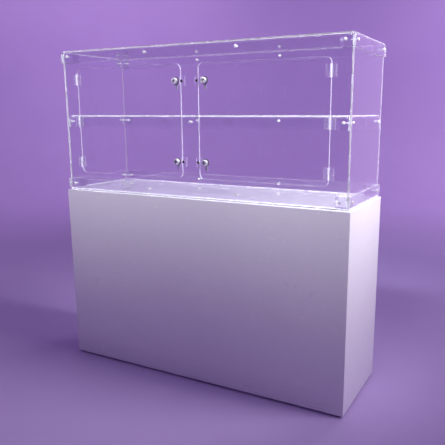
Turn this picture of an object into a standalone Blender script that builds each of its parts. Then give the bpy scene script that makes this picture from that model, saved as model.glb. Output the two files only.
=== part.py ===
"""Exhibition display plinth: a white lacquered box with a clear acrylic showcase bolted together on top.

The showcase is a floor tray, a shelf tray and a lid tray of bent sheet, four upright panels, two doors
let into the front panel, six leaf hinges, four turn locks and a cleat in every corner of each tray.

Metres, +Z up. The front, with the doors, faces -Y. The origin is on the floor under the middle.
"""

import math

import bmesh
import bpy
from mathutils import Matrix, Vector

# ---------------------------------------------------------------- driving dimensions
GAP = 0.0003                    # air between pieces that touch

PLINTH_W = 1.300
PLINTH_D = 0.410
PLINTH_TOP = 0.776
BOARD = 0.018                   # lacquered board of the plinth
ARRIS = 0.0010                  # softened edge of a board
FOOT_H = 0.008
FOOT_R = 0.0125
FOOT_INSET = 0.020              # foot centre in from each side of the plinth

CASE_H = 0.590
CASE_INSET = 0.006              # showcase in from each side of the plinth
SHEET = 0.006                   # clear acrylic sheet
SHEET_ARRIS = 0.0005
FLANGE = 0.050                  # height of each tray's bent edge, over its plate
BEND_R = 0.011                  # outer radius of a bend
SHELF_RISE = 0.324              # shelf's face above the plinth's top

DOOR_INNER_X = 0.0400           # door edge by the centre stile
DOOR_OUTER_X = 0.5634           # door edge by the hinges
DOOR_RISE = 0.0817              # door's lower edge above the plinth's top
DOOR_H = 0.433
DOOR_CORNER_R = 0.020
DOOR_GAP = 0.0012               # slot round each door

HINGE_LEAF_W = 0.019
HINGE_H = 0.044
HINGE_SHEET = 0.0022
HINGE_STEP = 0.172              # from the middle hinge to the ones above and below
KNUCKLE_R = 0.0038
KNUCKLE_PROUD = 0.0045          # pin's axis in front of the panel's face
KNUCKLE_CLEAR = 0.0008          # notch round the other leaf's knuckle
DOOR_KNUCKLE_H = 0.014
PIN_R = 0.0015
PIN_BORE_R = 0.00165
PIN_PROUD = 0.0010              # pin's end beyond the knuckles

LOCK_X = 0.0650                 # lock's axis from the middle of the front
LOCK_STEP = 0.154               # lock's axis above and below the middle of the door
BEZEL_R = 0.0130
BEZEL_T = 0.0028
BARREL_R = 0.0092
BARREL_HOLE_R = 0.0096
LOCK_NUT_R = 0.0125
LOCK_NUT_T = 0.0040
SPINDLE_R = 0.0040
SPINDLE_BORE_R = 0.0043
KNOB_R = 0.0110
KNOB_T = 0.0078
KNOB_SLOT_W = 0.0030
KNOB_SLOT_DEEP = 0.0028
CAM_T = 0.0028
CAM_W = 0.0100
CAM_REACH = 0.0330
CAM_BEHIND_BARREL = 0.0008
KEEPER_W = 0.0245
KEEPER_H = 0.0340
KEEPER_T = 0.0040
KEEPER_X = 0.0350               # keeper's middle, on the centre stile behind the door's edge

CLEAT = 0.042                   # side of a corner cleat
CLEAT_ARRIS = 0.0012
SHELF_CLEAT_H = 0.038

# ---------------------------------------------------------------- how finely round shapes are cut
MITRE_GAP = GAP * 0.75          # each board's share of the air in a mitre, along the plinth's side
ARM_HOLD = 0.9                  # how far a hinge leaf's arm reaches into its knuckle, of its radius
SMOOTH_ANGLE = math.radians(35)         # edges flatter than this are shaded round
ARRIS_ANGLE = math.radians(40)          # edges sharper than this are softened
BEND_STEPS = 8
DOOR_CORNER_STEPS = 10
SMALL_ROUND_SIDES = 20
ROUND_SIDES = 24
LARGE_ROUND_SIDES = 32
HEX_SIDES = 6

# ---------------------------------------------------------------- worked out from them
CASE_W = PLINTH_W - 2 * CASE_INSET
CASE_D = PLINTH_D - 2 * CASE_INSET
TOTAL_H = PLINTH_TOP + CASE_H
FLOOR_UNDER = PLINTH_TOP + GAP
FLOOR_TOP = FLOOR_UNDER + SHEET
LID_UNDER = TOTAL_H - SHEET
SHELF_TOP = PLINTH_TOP + SHELF_RISE
DOOR_LOW = PLINTH_TOP + DOOR_RISE
DOOR_HIGH = DOOR_LOW + DOOR_H
INNER_BEND_R = BEND_R - SHEET
PANEL_X = CASE_W / 2 - SHEET - GAP          # outer face of a side panel
PANEL_Y = CASE_D / 2 - SHEET - GAP          # outer face of the front and back panels
PANEL_LOW = FLOOR_TOP + INNER_BEND_R
PANEL_HIGH = LID_UNDER - INNER_BEND_R
ROOM_X = PANEL_X - SHEET                    # inner face of a side panel
ROOM_Y = PANEL_Y - SHEET
SHELF_X = ROOM_X - GAP
SHELF_Y = ROOM_Y - GAP
DOOR_MID_Z = (DOOR_LOW + DOOR_HIGH) / 2
HINGE_X = DOOR_OUTER_X + DOOR_GAP / 2
HINGE_Y = -PANEL_Y - KNUCKLE_PROUD
FACE_Y = -PANEL_Y                           # front face of the front panel and the doors
INNER_FACE_Y = -ROOM_Y
KEEPER_BACK_Y = INNER_FACE_Y + GAP + KEEPER_T
BARREL_BACK_Y = INNER_FACE_Y + GAP + LOCK_NUT_T
CAM_FRONT_Y = max(BARREL_BACK_Y, KEEPER_BACK_Y) + CAM_BEHIND_BARREL
KNOB_BACK_Y = FACE_Y - GAP - BEZEL_T - GAP

SIDES = (("left", -1), ("right", 1))
DEPTHS = (("front", -1), ("rear", 1))
HINGE_LEVELS = (("lower", -1), ("middle", 0), ("upper", 1))
LOCK_LEVELS = (("lower", -1), ("upper", 1))


# ---------------------------------------------------------------- scene, collections and materials
for old in list(bpy.data.objects):
    bpy.data.objects.remove(old, do_unlink=True)

PARTS = bpy.data.collections.new("display_plinth")
CUTTERS = bpy.data.collections.new("display_plinth_cutters")
bpy.context.scene.collection.children.link(PARTS)
bpy.context.scene.collection.children.link(CUTTERS)


def finish(name, colour, roughness, metallic=0.0, transmission=0.0):
    material = bpy.data.materials.new(name)
    material.use_nodes = True
    shader = material.node_tree.nodes["Principled BSDF"]
    shader.inputs["Base Color"].default_value = (*colour, 1.0)
    shader.inputs["Roughness"].default_value = roughness
    shader.inputs["Metallic"].default_value = metallic
    shader.inputs["Transmission Weight"].default_value = transmission
    material.diffuse_color = (*colour, 1.0)
    return material


LACQUER = finish("white_lacquer", (0.86, 0.86, 0.87), 0.32)
DECK_LACQUER = finish("deck_lacquer", (0.84, 0.84, 0.85), 0.40)
ACRYLIC = finish("clear_acrylic", (0.93, 0.95, 0.97), 0.03, transmission=1.0)
HINGE_PLASTIC = finish("hinge_acrylic", (0.88, 0.90, 0.92), 0.12, transmission=0.9)
PIN_STEEL = finish("pin_steel", (0.72, 0.73, 0.75), 0.25, metallic=1.0)
CHROME = finish("lock_chrome", (0.80, 0.81, 0.83), 0.10, metallic=1.0)
FOOT_PLASTIC = finish("foot_plastic", (0.05, 0.05, 0.055), 0.55)


# ---------------------------------------------------------------- shapes
def mesh_object(name, mesh, material, place=(0, 0, 0), turn=0.0, parent=None, collection=PARTS):
    """One object for a mesh; turn is in radians about Y, and place is where its origin stands."""
    piece = bpy.data.objects.new(name, mesh)
    if material and not mesh.materials:
        mesh.materials.append(material)
    collection.objects.link(piece)
    piece.location = Vector(place)
    piece.rotation_euler = (0, turn, 0)
    if parent:
        piece.parent = parent
        piece.location -= axis_point(parent)
    return piece


def axis_point(empty):
    """Where an empty stands in the room; the empties are never turned."""
    point = Vector(empty.location)
    while empty.parent:
        empty = empty.parent
        point += empty.location
    return point


def axis_empty(name, place, parent=None):
    empty = bpy.data.objects.new(name, None)
    empty.empty_display_size = 0.03
    PARTS.objects.link(empty)
    empty.location = Vector(place)
    if parent:
        empty.parent = parent
        empty.location -= axis_point(parent)
    return empty


def block(low, high):
    """A box mesh from its lowest to its highest corner."""
    low, high = Vector(low), Vector(high)
    bm = bmesh.new()
    bmesh.ops.create_cube(bm, size=1.0)
    size = high - low
    bmesh.ops.scale(bm, vec=size, verts=bm.verts)
    bmesh.ops.translate(bm, vec=(low + high) / 2, verts=bm.verts)
    return bm


def rod(radius, low, high, axis, sides=ROUND_SIDES):
    """A round bar along one axis, from low to high on it, centred on the other two."""
    bm = bmesh.new()
    bmesh.ops.create_cone(bm, cap_ends=True, segments=sides, radius1=radius, radius2=radius,
                          depth=high - low)
    bmesh.ops.translate(bm, vec=(0, 0, (low + high) / 2), verts=bm.verts)
    if axis == "Y":
        bmesh.ops.rotate(bm, matrix=Matrix.Rotation(-math.pi / 2, 3, "X"), verts=bm.verts)
    return bm


def to_mesh(name, bm):
    bm.normal_update()
    bmesh.ops.recalc_face_normals(bm, faces=bm.faces)
    mesh = bpy.data.meshes.new(name)
    bm.to_mesh(mesh)
    bm.free()
    mesh.shade_smooth()
    mesh.set_sharp_from_angle(angle=SMOOTH_ANGLE)
    return mesh


def baked(piece):
    """The piece's mesh with its modifiers applied; the piece and its cutters are then removed."""
    graph = bpy.context.evaluated_depsgraph_get()
    mesh = bpy.data.meshes.new_from_object(piece.evaluated_get(graph))
    tools = [m.object for m in piece.modifiers if m.type == "BOOLEAN"]
    for spare in [piece, *tools]:
        bpy.data.objects.remove(spare, do_unlink=True)
    mesh.materials.clear()
    return mesh


def combine(name, base, joined=(), cut=()):
    """One solid mesh: base with the shapes in joined added and the shapes in cut taken away."""
    piece = mesh_object(name, to_mesh(name, base), None, collection=CUTTERS)
    for operation, shapes in (("UNION", joined), ("DIFFERENCE", cut)):
        for number, shape in enumerate(shapes):
            label = f"{name}_{operation.lower()}_{number}"
            tool = mesh_object(label, to_mesh(label, shape), None, collection=CUTTERS)
            tool.hide_render = True
            tool.display_type = "WIRE"
            step = piece.modifiers.new(label, "BOOLEAN")
            step.operation = operation
            step.solver = "EXACT"
            step.object = tool
    bpy.context.view_layer.update()
    mesh = baked(piece)
    mesh.shade_smooth()
    mesh.set_sharp_from_angle(angle=SMOOTH_ANGLE)
    return mesh


def soften(piece, width, segments=1):
    bevel = piece.modifiers.new("arris", "BEVEL")
    bevel.width = width
    bevel.segments = segments
    bevel.limit_method = "ANGLE"
    bevel.angle_limit = ARRIS_ANGLE
    return piece


# ---------------------------------------------------------------- the plinth
def mitred_board(name, length, side, along):
    """An upright plinth board with ends mitred at 45 degrees; its outer face is on the side given."""
    bm = bmesh.new()
    bmesh.ops.create_cube(bm, size=1.0)
    low, high = FOOT_H + GAP, PLINTH_TOP
    reach = (PLINTH_D if along == "X" else PLINTH_W) / 2
    for corner in bm.verts:
        outer = corner.co.y * side > 0
        half = length / 2 - MITRE_GAP - (0 if outer else BOARD)
        corner.co = Vector((
            math.copysign(half, corner.co.x),
            side * (reach if outer else reach - BOARD),
            high if corner.co.z > 0 else low,
        ))
    if along == "Y":
        for corner in bm.verts:
            corner.co = Vector((corner.co.y, corner.co.x, corner.co.z))
    board = mesh_object(name, to_mesh(name, bm), LACQUER)
    soften(board, ARRIS, segments=2)


def build_plinth():
    mitred_board("plinth_front_board", PLINTH_W, -1, "X")
    mitred_board("plinth_back_board", PLINTH_W, 1, "X")
    mitred_board("plinth_left_board", PLINTH_D, -1, "Y")
    mitred_board("plinth_right_board", PLINTH_D, 1, "Y")
    half_w = PLINTH_W / 2 - BOARD - GAP
    half_d = PLINTH_D / 2 - BOARD - GAP
    deck = block((-half_w, -half_d, PLINTH_TOP - BOARD), (half_w, half_d, PLINTH_TOP))
    soften(mesh_object("plinth_deck", to_mesh("plinth_deck", deck), DECK_LACQUER), ARRIS)
    foot_mesh = to_mesh("plinth_foot", rod(FOOT_R, 0, FOOT_H, "Z", SMALL_ROUND_SIDES))
    for side, x in SIDES:
        for depth, y in DEPTHS:
            place = (x * (PLINTH_W / 2 - FOOT_INSET), y * (PLINTH_D / 2 - FOOT_INSET), 0)
            mesh_object(f"plinth_foot_{depth}_{side}", foot_mesh, FOOT_PLASTIC, place)


# ---------------------------------------------------------------- the showcase
def bent_tray(name, half_w, half_d, plate_z, upward):
    """A plate whose four edges are bent over to one side: an open skin thickened inwards.

    plate_z is the outer face of the plate, and upward says which way the flanges stand.
    """
    bm = bmesh.new()
    bmesh.ops.create_cube(bm, size=1.0)
    tip_z = plate_z + (FLANGE if upward else -FLANGE)
    for corner in bm.verts:
        on_plate = (corner.co.z > 0) != upward
        corner.co = Vector((
            math.copysign(half_w, corner.co.x),
            math.copysign(half_d, corner.co.y),
            plate_z if on_plate else tip_z,
        ))
    bm.normal_update()
    bmesh.ops.recalc_face_normals(bm, faces=bm.faces)
    mouth = [f for f in bm.faces if all(abs(v.co.z - tip_z) < GAP for v in f.verts)]
    bmesh.ops.delete(bm, geom=mouth, context="FACES_ONLY")
    folds = [e for e in bm.edges if all(abs(v.co.z - plate_z) < GAP for v in e.verts)]
    bmesh.ops.bevel(bm, geom=folds, offset=BEND_R, offset_type="OFFSET", segments=BEND_STEPS, profile=0.5,
                    affect="EDGES", clamp_overlap=True)
    mesh = bpy.data.meshes.new(name)
    bm.to_mesh(mesh)
    bm.free()
    mesh.shade_smooth()
    mesh.set_sharp_from_angle(angle=SMOOTH_ANGLE)
    tray = mesh_object(name, mesh, ACRYLIC)
    wall = tray.modifiers.new("sheet", "SOLIDIFY")
    wall.thickness = SHEET
    wall.offset = -1.0
    wall.use_even_offset = True


def door_outline(side, slack):
    """The rounded outline of a door as a block through the sheet; slack widens it all round."""
    low_x = side * (DOOR_INNER_X - slack)
    high_x = side * (DOOR_OUTER_X + slack)
    low = (min(low_x, high_x), FACE_Y, DOOR_LOW - slack)
    high = (max(low_x, high_x), INNER_FACE_Y, DOOR_HIGH + slack)
    bm = block(low, high)
    upright = [e for e in bm.edges if abs(e.verts[0].co.y - e.verts[1].co.y) > SHEET / 2]
    bmesh.ops.bevel(bm, geom=upright, offset=DOOR_CORNER_R + slack, offset_type="OFFSET",
                    segments=DOOR_CORNER_STEPS, profile=0.5, affect="EDGES", clamp_overlap=True)
    return bm


def deepened(bm, extra):
    """The same outline, run out past both faces of the sheet so that it cuts right through."""
    middle = (FACE_Y + INNER_FACE_Y) / 2
    for corner in bm.verts:
        corner.co.y += math.copysign(extra, corner.co.y - middle)
    return bm


def lock_places(side):
    return [(level, (side * LOCK_X, 0, DOOR_MID_Z + up * LOCK_STEP)) for level, up in LOCK_LEVELS]


def hinge_places(side):
    return [(level, (side * HINGE_X, HINGE_Y, DOOR_MID_Z + up * HINGE_STEP)) for level, up in HINGE_LEVELS]


def build_case():
    bent_tray("case_floor_tray", CASE_W / 2, CASE_D / 2, FLOOR_UNDER, upward=True)
    bent_tray("case_shelf_tray", SHELF_X, SHELF_Y, SHELF_TOP, upward=False)
    bent_tray("case_lid_tray", CASE_W / 2, CASE_D / 2, TOTAL_H, upward=False)

    front = block((-PANEL_X, FACE_Y, PANEL_LOW), (PANEL_X, INNER_FACE_Y, PANEL_HIGH))
    openings = [deepened(door_outline(side, DOOR_GAP), SHEET) for _, side in SIDES]
    front_mesh = combine("case_front_frame", front, cut=openings)
    soften(mesh_object("case_front_frame", front_mesh, ACRYLIC), SHEET_ARRIS)

    back = block((-PANEL_X, ROOM_Y, PANEL_LOW), (PANEL_X, PANEL_Y, PANEL_HIGH))
    soften(mesh_object("case_back_panel", to_mesh("case_back_panel", back), ACRYLIC), SHEET_ARRIS)
    for side, x in SIDES:
        near, far = sorted((x * ROOM_X, x * PANEL_X))
        half_d = ROOM_Y - GAP
        panel = block((near, -half_d, PANEL_LOW), (far, half_d, PANEL_HIGH))
        name = f"case_{side}_panel"
        soften(mesh_object(name, to_mesh(name, panel), ACRYLIC), SHEET_ARRIS)


def build_cleats():
    """A clear block in each corner of each tray; it takes the screws of the two panels that meet there."""
    levels = (
        ("floor", SHELF_X, SHELF_Y, FLOOR_TOP + GAP, CLEAT),
        ("shelf", SHELF_X - SHEET - GAP, SHELF_Y - SHEET - GAP,
         SHELF_TOP - SHEET - INNER_BEND_R - SHELF_CLEAT_H, SHELF_CLEAT_H),
        ("lid", SHELF_X, SHELF_Y, LID_UNDER - GAP - CLEAT, CLEAT),
    )
    for level, reach_x, reach_y, base, height in levels:
        half = CLEAT / 2
        cleat = to_mesh(f"{level}_cleat", block((-half, -half, 0), (half, half, height)))
        for side, x in SIDES:
            for depth, y in DEPTHS:
                place = (x * (reach_x - half), y * (reach_y - half), base)
                name = f"{level}_cleat_{depth}_{side}"
                soften(mesh_object(name, cleat, ACRYLIC, place), CLEAT_ARRIS)


# ---------------------------------------------------------------- doors, hinges and locks
def leaf_mesh(name, spans):
    """A hinge leaf reaching to +X from the pin's axis, with a knuckle over each span of height."""
    back_y = KNUCKLE_PROUD - GAP
    front_y = back_y - HINGE_SHEET
    notch = KNUCKLE_R + KNUCKLE_CLEAR
    plate = block((notch, front_y, -HINGE_H / 2), (HINGE_LEAF_W, back_y, HINGE_H / 2))
    arms = [block((0, front_y, low), (notch + HINGE_SHEET / 2, back_y, high)) for low, high in spans]
    for arm in arms:
        for corner in arm.verts:
            if corner.co.x < notch and corner.co.y > front_y + HINGE_SHEET / 2:
                corner.co.y = min(corner.co.y, KNUCKLE_R * ARM_HOLD)
    knuckles = [rod(KNUCKLE_R, low, high, "Z", SMALL_ROUND_SIDES) for low, high in spans]
    bore = rod(PIN_BORE_R, -HINGE_H, HINGE_H, "Z", SMALL_ROUND_SIDES)
    return combine(name, plate, joined=[*arms, *knuckles], cut=[bore])


def hinge_meshes():
    knuckle = DOOR_KNUCKLE_H / 2
    end = HINGE_H / 2
    frame_leaf = leaf_mesh("hinge_frame_leaf", [(-end, -knuckle - GAP), (knuckle + GAP, end)])
    door_leaf = leaf_mesh("hinge_door_leaf", [(-knuckle, knuckle)])
    pin = rod(PIN_R, -end - PIN_PROUD, end + PIN_PROUD, "Z", SMALL_ROUND_SIDES)
    return frame_leaf, door_leaf, to_mesh("hinge_pin", pin)


def barrel_mesh():
    """Bezel outside the door, barrel through it, six-sided nut behind it, bored for the spindle."""
    bezel = rod(BEZEL_R, FACE_Y - GAP - BEZEL_T, FACE_Y - GAP, "Y", LARGE_ROUND_SIDES)
    barrel = rod(BARREL_R, FACE_Y - BEZEL_T, BARREL_BACK_Y - GAP, "Y", LARGE_ROUND_SIDES)
    nut = rod(LOCK_NUT_R, INNER_FACE_Y + GAP, BARREL_BACK_Y, "Y", HEX_SIDES)
    bore = rod(SPINDLE_BORE_R, FACE_Y - SHEET, BARREL_BACK_Y + SHEET, "Y")
    return combine("lock_barrel", bezel, joined=[barrel, nut], cut=[bore])


def knob_mesh():
    """Slotted knob, spindle and latch cam in one piece; the cam hangs down when the lock is open."""
    knob = rod(KNOB_R, KNOB_BACK_Y - KNOB_T, KNOB_BACK_Y, "Y", LARGE_ROUND_SIDES)
    spindle = rod(SPINDLE_R, KNOB_BACK_Y - KNOB_T / 2, CAM_FRONT_Y + CAM_T / 2, "Y")
    cam_back = CAM_FRONT_Y + CAM_T
    straight = CAM_REACH - CAM_W / 2
    cam = block((-CAM_W / 2, CAM_FRONT_Y, -straight), (CAM_W / 2, cam_back, CAM_W / 2))
    tip = rod(CAM_W / 2, CAM_FRONT_Y, cam_back, "Y")
    bmesh.ops.translate(tip, vec=(0, 0, -straight), verts=tip.verts)
    face = KNOB_BACK_Y - KNOB_T
    half_slot = KNOB_SLOT_W / 2
    past_knob = KNOB_R * 2
    slot = block((-half_slot, face - KNOB_T, -past_knob), (half_slot, face + KNOB_SLOT_DEEP, past_knob))
    return combine("lock_knob", knob, joined=[spindle, cam, tip], cut=[slot])


def door_mesh(name, side):
    """A door leaf, pierced for its two lock barrels, in room coordinates."""
    holes = []
    for _, place in lock_places(side):
        hole = rod(BARREL_HOLE_R, FACE_Y - SHEET, INNER_FACE_Y + SHEET, "Y", LARGE_ROUND_SIDES)
        bmesh.ops.translate(hole, vec=place, verts=hole.verts)
        holes.append(hole)
    return combine(name, door_outline(side, 0.0), cut=holes)


def build_doors():
    frame_leaf, door_leaf, pin = hinge_meshes()
    barrel, knob = barrel_mesh(), knob_mesh()
    keeper = to_mesh("lock_keeper", block(
        (-KEEPER_W / 2, INNER_FACE_Y + GAP, -KEEPER_H / 2), (KEEPER_W / 2, KEEPER_BACK_Y, KEEPER_H / 2)))
    for side, x in SIDES:
        swing = axis_empty(f"{side}_door_axis", (x * HINGE_X, HINGE_Y, DOOR_MID_Z))
        panel = door_mesh(f"{side}_door", x)
        panel.transform(Matrix.Translation(-axis_point(swing)))
        soften(mesh_object(f"{side}_door", panel, ACRYLIC, axis_point(swing), parent=swing), SHEET_ARRIS)
        outward = 0.0 if x > 0 else math.pi
        for level, place in hinge_places(x):
            name = f"{side}_{level}_hinge"
            mesh_object(f"{name}_frame_leaf", frame_leaf, HINGE_PLASTIC, place, outward)
            mesh_object(f"{name}_door_leaf", door_leaf, HINGE_PLASTIC, place, math.pi - outward, swing)
            mesh_object(f"{name}_pin", pin, PIN_STEEL, place)
        for level, place in lock_places(x):
            name = f"{side}_{level}_lock"
            turn = axis_empty(f"{name}_axis", place, swing)
            mesh_object(f"{name}_barrel", barrel, CHROME, place, parent=swing)
            mesh_object(f"{name}_knob", knob, CHROME, place, parent=turn)
            soften(mesh_object(f"{name}_keeper", keeper, ACRYLIC, (x * KEEPER_X, 0, place[2])), SHEET_ARRIS)


build_plinth()
build_case()
build_cleats()
build_doors()
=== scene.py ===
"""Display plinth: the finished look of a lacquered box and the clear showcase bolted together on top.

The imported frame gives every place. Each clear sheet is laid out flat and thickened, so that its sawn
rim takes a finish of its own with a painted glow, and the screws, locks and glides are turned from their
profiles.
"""

import math

import bmesh
import bpy
from mathutils import Matrix, Vector


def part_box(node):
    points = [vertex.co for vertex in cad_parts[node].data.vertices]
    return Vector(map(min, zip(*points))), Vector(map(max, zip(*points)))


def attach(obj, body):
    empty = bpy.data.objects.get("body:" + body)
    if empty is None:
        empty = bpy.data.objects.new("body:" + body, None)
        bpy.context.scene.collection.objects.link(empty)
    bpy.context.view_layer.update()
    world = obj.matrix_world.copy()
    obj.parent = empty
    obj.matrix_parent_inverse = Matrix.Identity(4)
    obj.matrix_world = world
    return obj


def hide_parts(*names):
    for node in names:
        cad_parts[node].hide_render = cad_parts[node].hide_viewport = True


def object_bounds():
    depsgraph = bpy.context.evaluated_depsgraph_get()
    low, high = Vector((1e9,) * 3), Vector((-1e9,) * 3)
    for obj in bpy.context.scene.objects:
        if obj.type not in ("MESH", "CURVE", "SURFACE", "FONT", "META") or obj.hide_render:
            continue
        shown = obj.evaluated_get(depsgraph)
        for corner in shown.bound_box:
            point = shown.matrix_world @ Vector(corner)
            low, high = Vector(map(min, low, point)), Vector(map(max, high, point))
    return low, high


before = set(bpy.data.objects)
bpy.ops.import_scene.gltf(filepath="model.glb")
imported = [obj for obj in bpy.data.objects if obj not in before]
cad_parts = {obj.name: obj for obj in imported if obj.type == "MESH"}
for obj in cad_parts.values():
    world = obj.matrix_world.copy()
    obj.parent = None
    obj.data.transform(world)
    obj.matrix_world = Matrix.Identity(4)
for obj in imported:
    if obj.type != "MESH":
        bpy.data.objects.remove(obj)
CAD_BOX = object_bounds()

# ---------------------------------------------------------------- sizes, in metres
SHEET = 0.006                   # clear sheet
BEND_R = 0.011                  # outer radius of a tray's bends
RIM_ARRIS = 0.0005
CLEAR = 0.0003                  # air between pieces that touch
CORNER_SLIT = 0.0006            # between two flanges that meet at a corner
SPREAD = 0.0050                 # height over which a flange widens below its bend
DOOR_CORNER_R = 0.020
DOOR_GAP = 0.0012               # air between a door and its cut-out
CLEAT_ARRIS = 0.0012
KEEPER_ARRIS = 0.0010
HINGE_SHEET = 0.0022            # thickness of a hinge leaf beside its knuckle
HINGE_ARRIS = 0.00025
PIN_CROWN = 0.35                # rounded end of a hinge pin, as a share of its radius

HEAD_R = 0.0060                 # screw
HEAD_H = 0.0030
HEAD_DOME_R = 0.96              # the head's dome and brim, as shares of its radius and height
HEAD_BRIM_H = 0.22
HEAD_UNDER_R = 0.97
HEAD_UNDER_H = 0.05
SHANK_R = 0.0024
SHANK_TIP = 0.80                # radius at a screw's tip, as a share of its shank's
THREAD_START = 0.002            # below the head's seat
THREAD_PITCH = 0.0010
THREAD_ROOT = 0.84              # radius between the threads, as a share of the shank's
CORNER_SCREW_L = 0.025
THROUGH_SCREW_L = 0.0185
SOCKET_R = 0.0014
SOCKET_DEEP = 0.0010
NUT_R = 0.0046
NUT_H = 0.0040
NUT_BEVEL = 0.0004
DRILL_SLACK = 0.0002
DRILL_RUN = 0.001               # how far a drill goes on past what it cuts
LID_SCREW_DROP = 0.024          # screw rows from the lid's top, the shelf's face and the plinth's top
SHELF_SCREW_DROP = 0.0255
FLOOR_SCREW_RISE = 0.0285
SCREW_INSET = 0.0336            # corner screws in from the flanges' faces, in line with the cleats
SCREW_INNER_X = 0.2037          # the ones between the corners, from the middle

BEZEL_R = 0.0130
BEZEL_T = 0.0028
BARREL_R = 0.0090
BARREL_PLAIN = 0.0012           # plain run at each end of a barrel's thread
BARREL_PITCH = 0.0010
BARREL_ROOT = 0.955             # radius between the threads and at the end, as shares of the barrel's
BARREL_TIP = 0.94
WASHER_R = 0.0150
WASHER_T = 0.0008
LOCK_NUT_R = 0.0125
LOCK_NUT_T = 0.0030
LOCK_NUT_BEVEL = 0.0005
KNOB_R = 0.0110
KNOB_T = 0.0078
KNOB_FLUTES = 24
KNOB_CROWN = 0.16               # rounded end of a knob, as a share of its length
FLUTE_DEEP = 0.045              # as a share of the knob's radius
FLUTED_FROM = 0.95              # rings narrower than this share of the radius have no flutes
KNOB_SLOT_W = 0.0028            # the two crossed slots in a knob's face
KNOB_SLOT_L = 0.0150
KNOB_SLOT_DEEP = 0.0022
CAM_W = 0.0100
CAM_T = 0.0028
CAM_HEEL = 0.0010               # how far the cam runs on past its spindle
CAM_ARRIS = 0.0004
SPINDLE_R = 0.0040
BOLT_R = 0.0052                 # dark bolt that holds a keeper to the centre stile
BOLT_HEAD_H = 0.0024
BOLT_X = 0.0338
KEEPER_DRILL = 0.03             # half the length of the drill that makes a keeper's hole

# turned outlines from the top down: shares of the radius and of the height
GLIDE_OUTLINE = ((0.72, 1.0), (0.80, 0.82), (0.98, 0.55), (1.0, 0.30), (0.93, 0.06), (0.86, 0.0))
BEZEL_OUTLINE = ((0.86, 1.0), (0.95, 0.8), (1.0, 0.45), (1.0, 0.1), (0.98, 0.0))
BOLT_HEAD_OUTLINE = ((0.7, 0.93), (0.95, 0.7), (1.0, 0.35), (1.0, 0.0))

ROUND_STEPS = 48
SMALL_ROUND_STEPS = 28
BEND_STEPS = 10
DOME_STEPS = 9
TURNED_MERGE = 0.00002          # points nearer than this become one
CAD_MERGE = 0.000005
FLAT_ANGLE = math.radians(1)    # faces that meet at less than this are one flat face
ARRIS_ANGLE = math.radians(40)  # edges sharper than this get a small round
SMOOTH_ANGLE = math.radians(35)
PAINTED_GLOW_BEND = math.radians(46)     # how far round a bend, from the plate, the sheet takes a painted glow

SIDES = (("left", -1), ("right", 1))
DEPTHS = (("front", -1), ("rear", 1))
LEVELS = ("lower", "upper")
OUTWARD = (0, -1, 0)            # the way that the doors, knobs and keeper bolts face


# ---------------------------------------------------------------- node helpers
def add(tree, kind, wires=None, **settings):
    """A node whose inputs are wired to sockets or set to plain values."""
    made = tree.nodes.new(kind)
    for key, value in settings.items():
        setattr(made, key, value)
    for key, value in (wires or {}).items():
        if isinstance(value, bpy.types.NodeSocket):
            tree.links.new(value, made.inputs[key])
        else:
            made.inputs[key].default_value = value
    return made


def sums(tree, operation, *values):
    """The result of a sum on sockets or plain values."""
    made = tree.nodes.new("ShaderNodeMath")
    made.operation = operation
    for number, value in enumerate(values):
        if isinstance(value, bpy.types.NodeSocket):
            tree.links.new(value, made.inputs[number])
        else:
            made.inputs[number].default_value = value
    return made.outputs[0]


def ramped(tree, value, low, high, to_low=0.0, to_high=1.0):
    """Value carried from one range to another and held at its ends."""
    return add(tree, "ShaderNodeMapRange", {
        "Value": value, "From Min": low, "From Max": high, "To Min": to_low, "To Max": to_high,
    }).outputs["Result"]


def group(name, inputs, outputs):
    """An empty shader group with named inputs and outputs: (tree, its inputs, its output node)."""
    tree = bpy.data.node_groups.new(name, "ShaderNodeTree")
    for label, kind, value in inputs:
        tree.interface.new_socket(label, in_out="INPUT", socket_type=kind).default_value = value
    for label, kind in outputs:
        tree.interface.new_socket(label, in_out="OUTPUT", socket_type=kind)
    return tree, tree.nodes.new("NodeGroupInput").outputs, tree.nodes.new("NodeGroupOutput")


def placed(tree, made, **wires):
    """A group placed in a material's tree, its inputs named with _ for a space."""
    named = {label.replace("_", " "): value for label, value in wires.items()}
    return add(tree, "ShaderNodeGroup", named, node_tree=made)


FLOAT = "NodeSocketFloat"
VECTOR = "NodeSocketVector"


# ---------------------------------------------------------------- shared surface effects
def cloudiness_group():
    """Soft drifts between two levels."""
    tree, given, out = group("cloudiness", [
        ("Place", VECTOR, (0, 0, 0)), ("Scale", FLOAT, 8.0), ("Low", FLOAT, 0.0), ("High", FLOAT, 1.0),
    ], [("Level", FLOAT)])
    noise = add(tree, "ShaderNodeTexNoise", {
        "Vector": given["Place"], "Scale": given["Scale"], "Detail": 4.0, "Roughness": 0.55})
    level = ramped(tree, noise.outputs["Fac"], 0.32, 0.68, given["Low"], given["High"])
    tree.links.new(level, out.inputs["Level"])
    return tree


def hairlines_group():
    """Fine crossing scratches, thin where two stretched noises peak."""
    tree, given, out = group("hairlines", [
        ("Place", VECTOR, (0, 0, 0)), ("Scale", FLOAT, 30.0), ("Amount", FLOAT, 0.5),
    ], [("Mask", FLOAT)])
    found = []
    for turn, stretch in ((0.4, 22.0), (-0.9, 17.0)):
        laid = add(tree, "ShaderNodeMapping", {
            "Vector": given["Place"], "Rotation": (turn, 0.7 * turn, turn),
            "Scale": (1.0, stretch, stretch)})
        noise = add(tree, "ShaderNodeTexNoise", {
            "Vector": laid.outputs["Vector"], "Scale": given["Scale"], "Detail": 2.0})
        found.append(ramped(tree, noise.outputs["Fac"], 0.66, 0.74))
    both = sums(tree, "MAXIMUM", *found)
    tree.links.new(sums(tree, "MULTIPLY", both, given["Amount"]), out.inputs["Mask"])
    return tree


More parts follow.
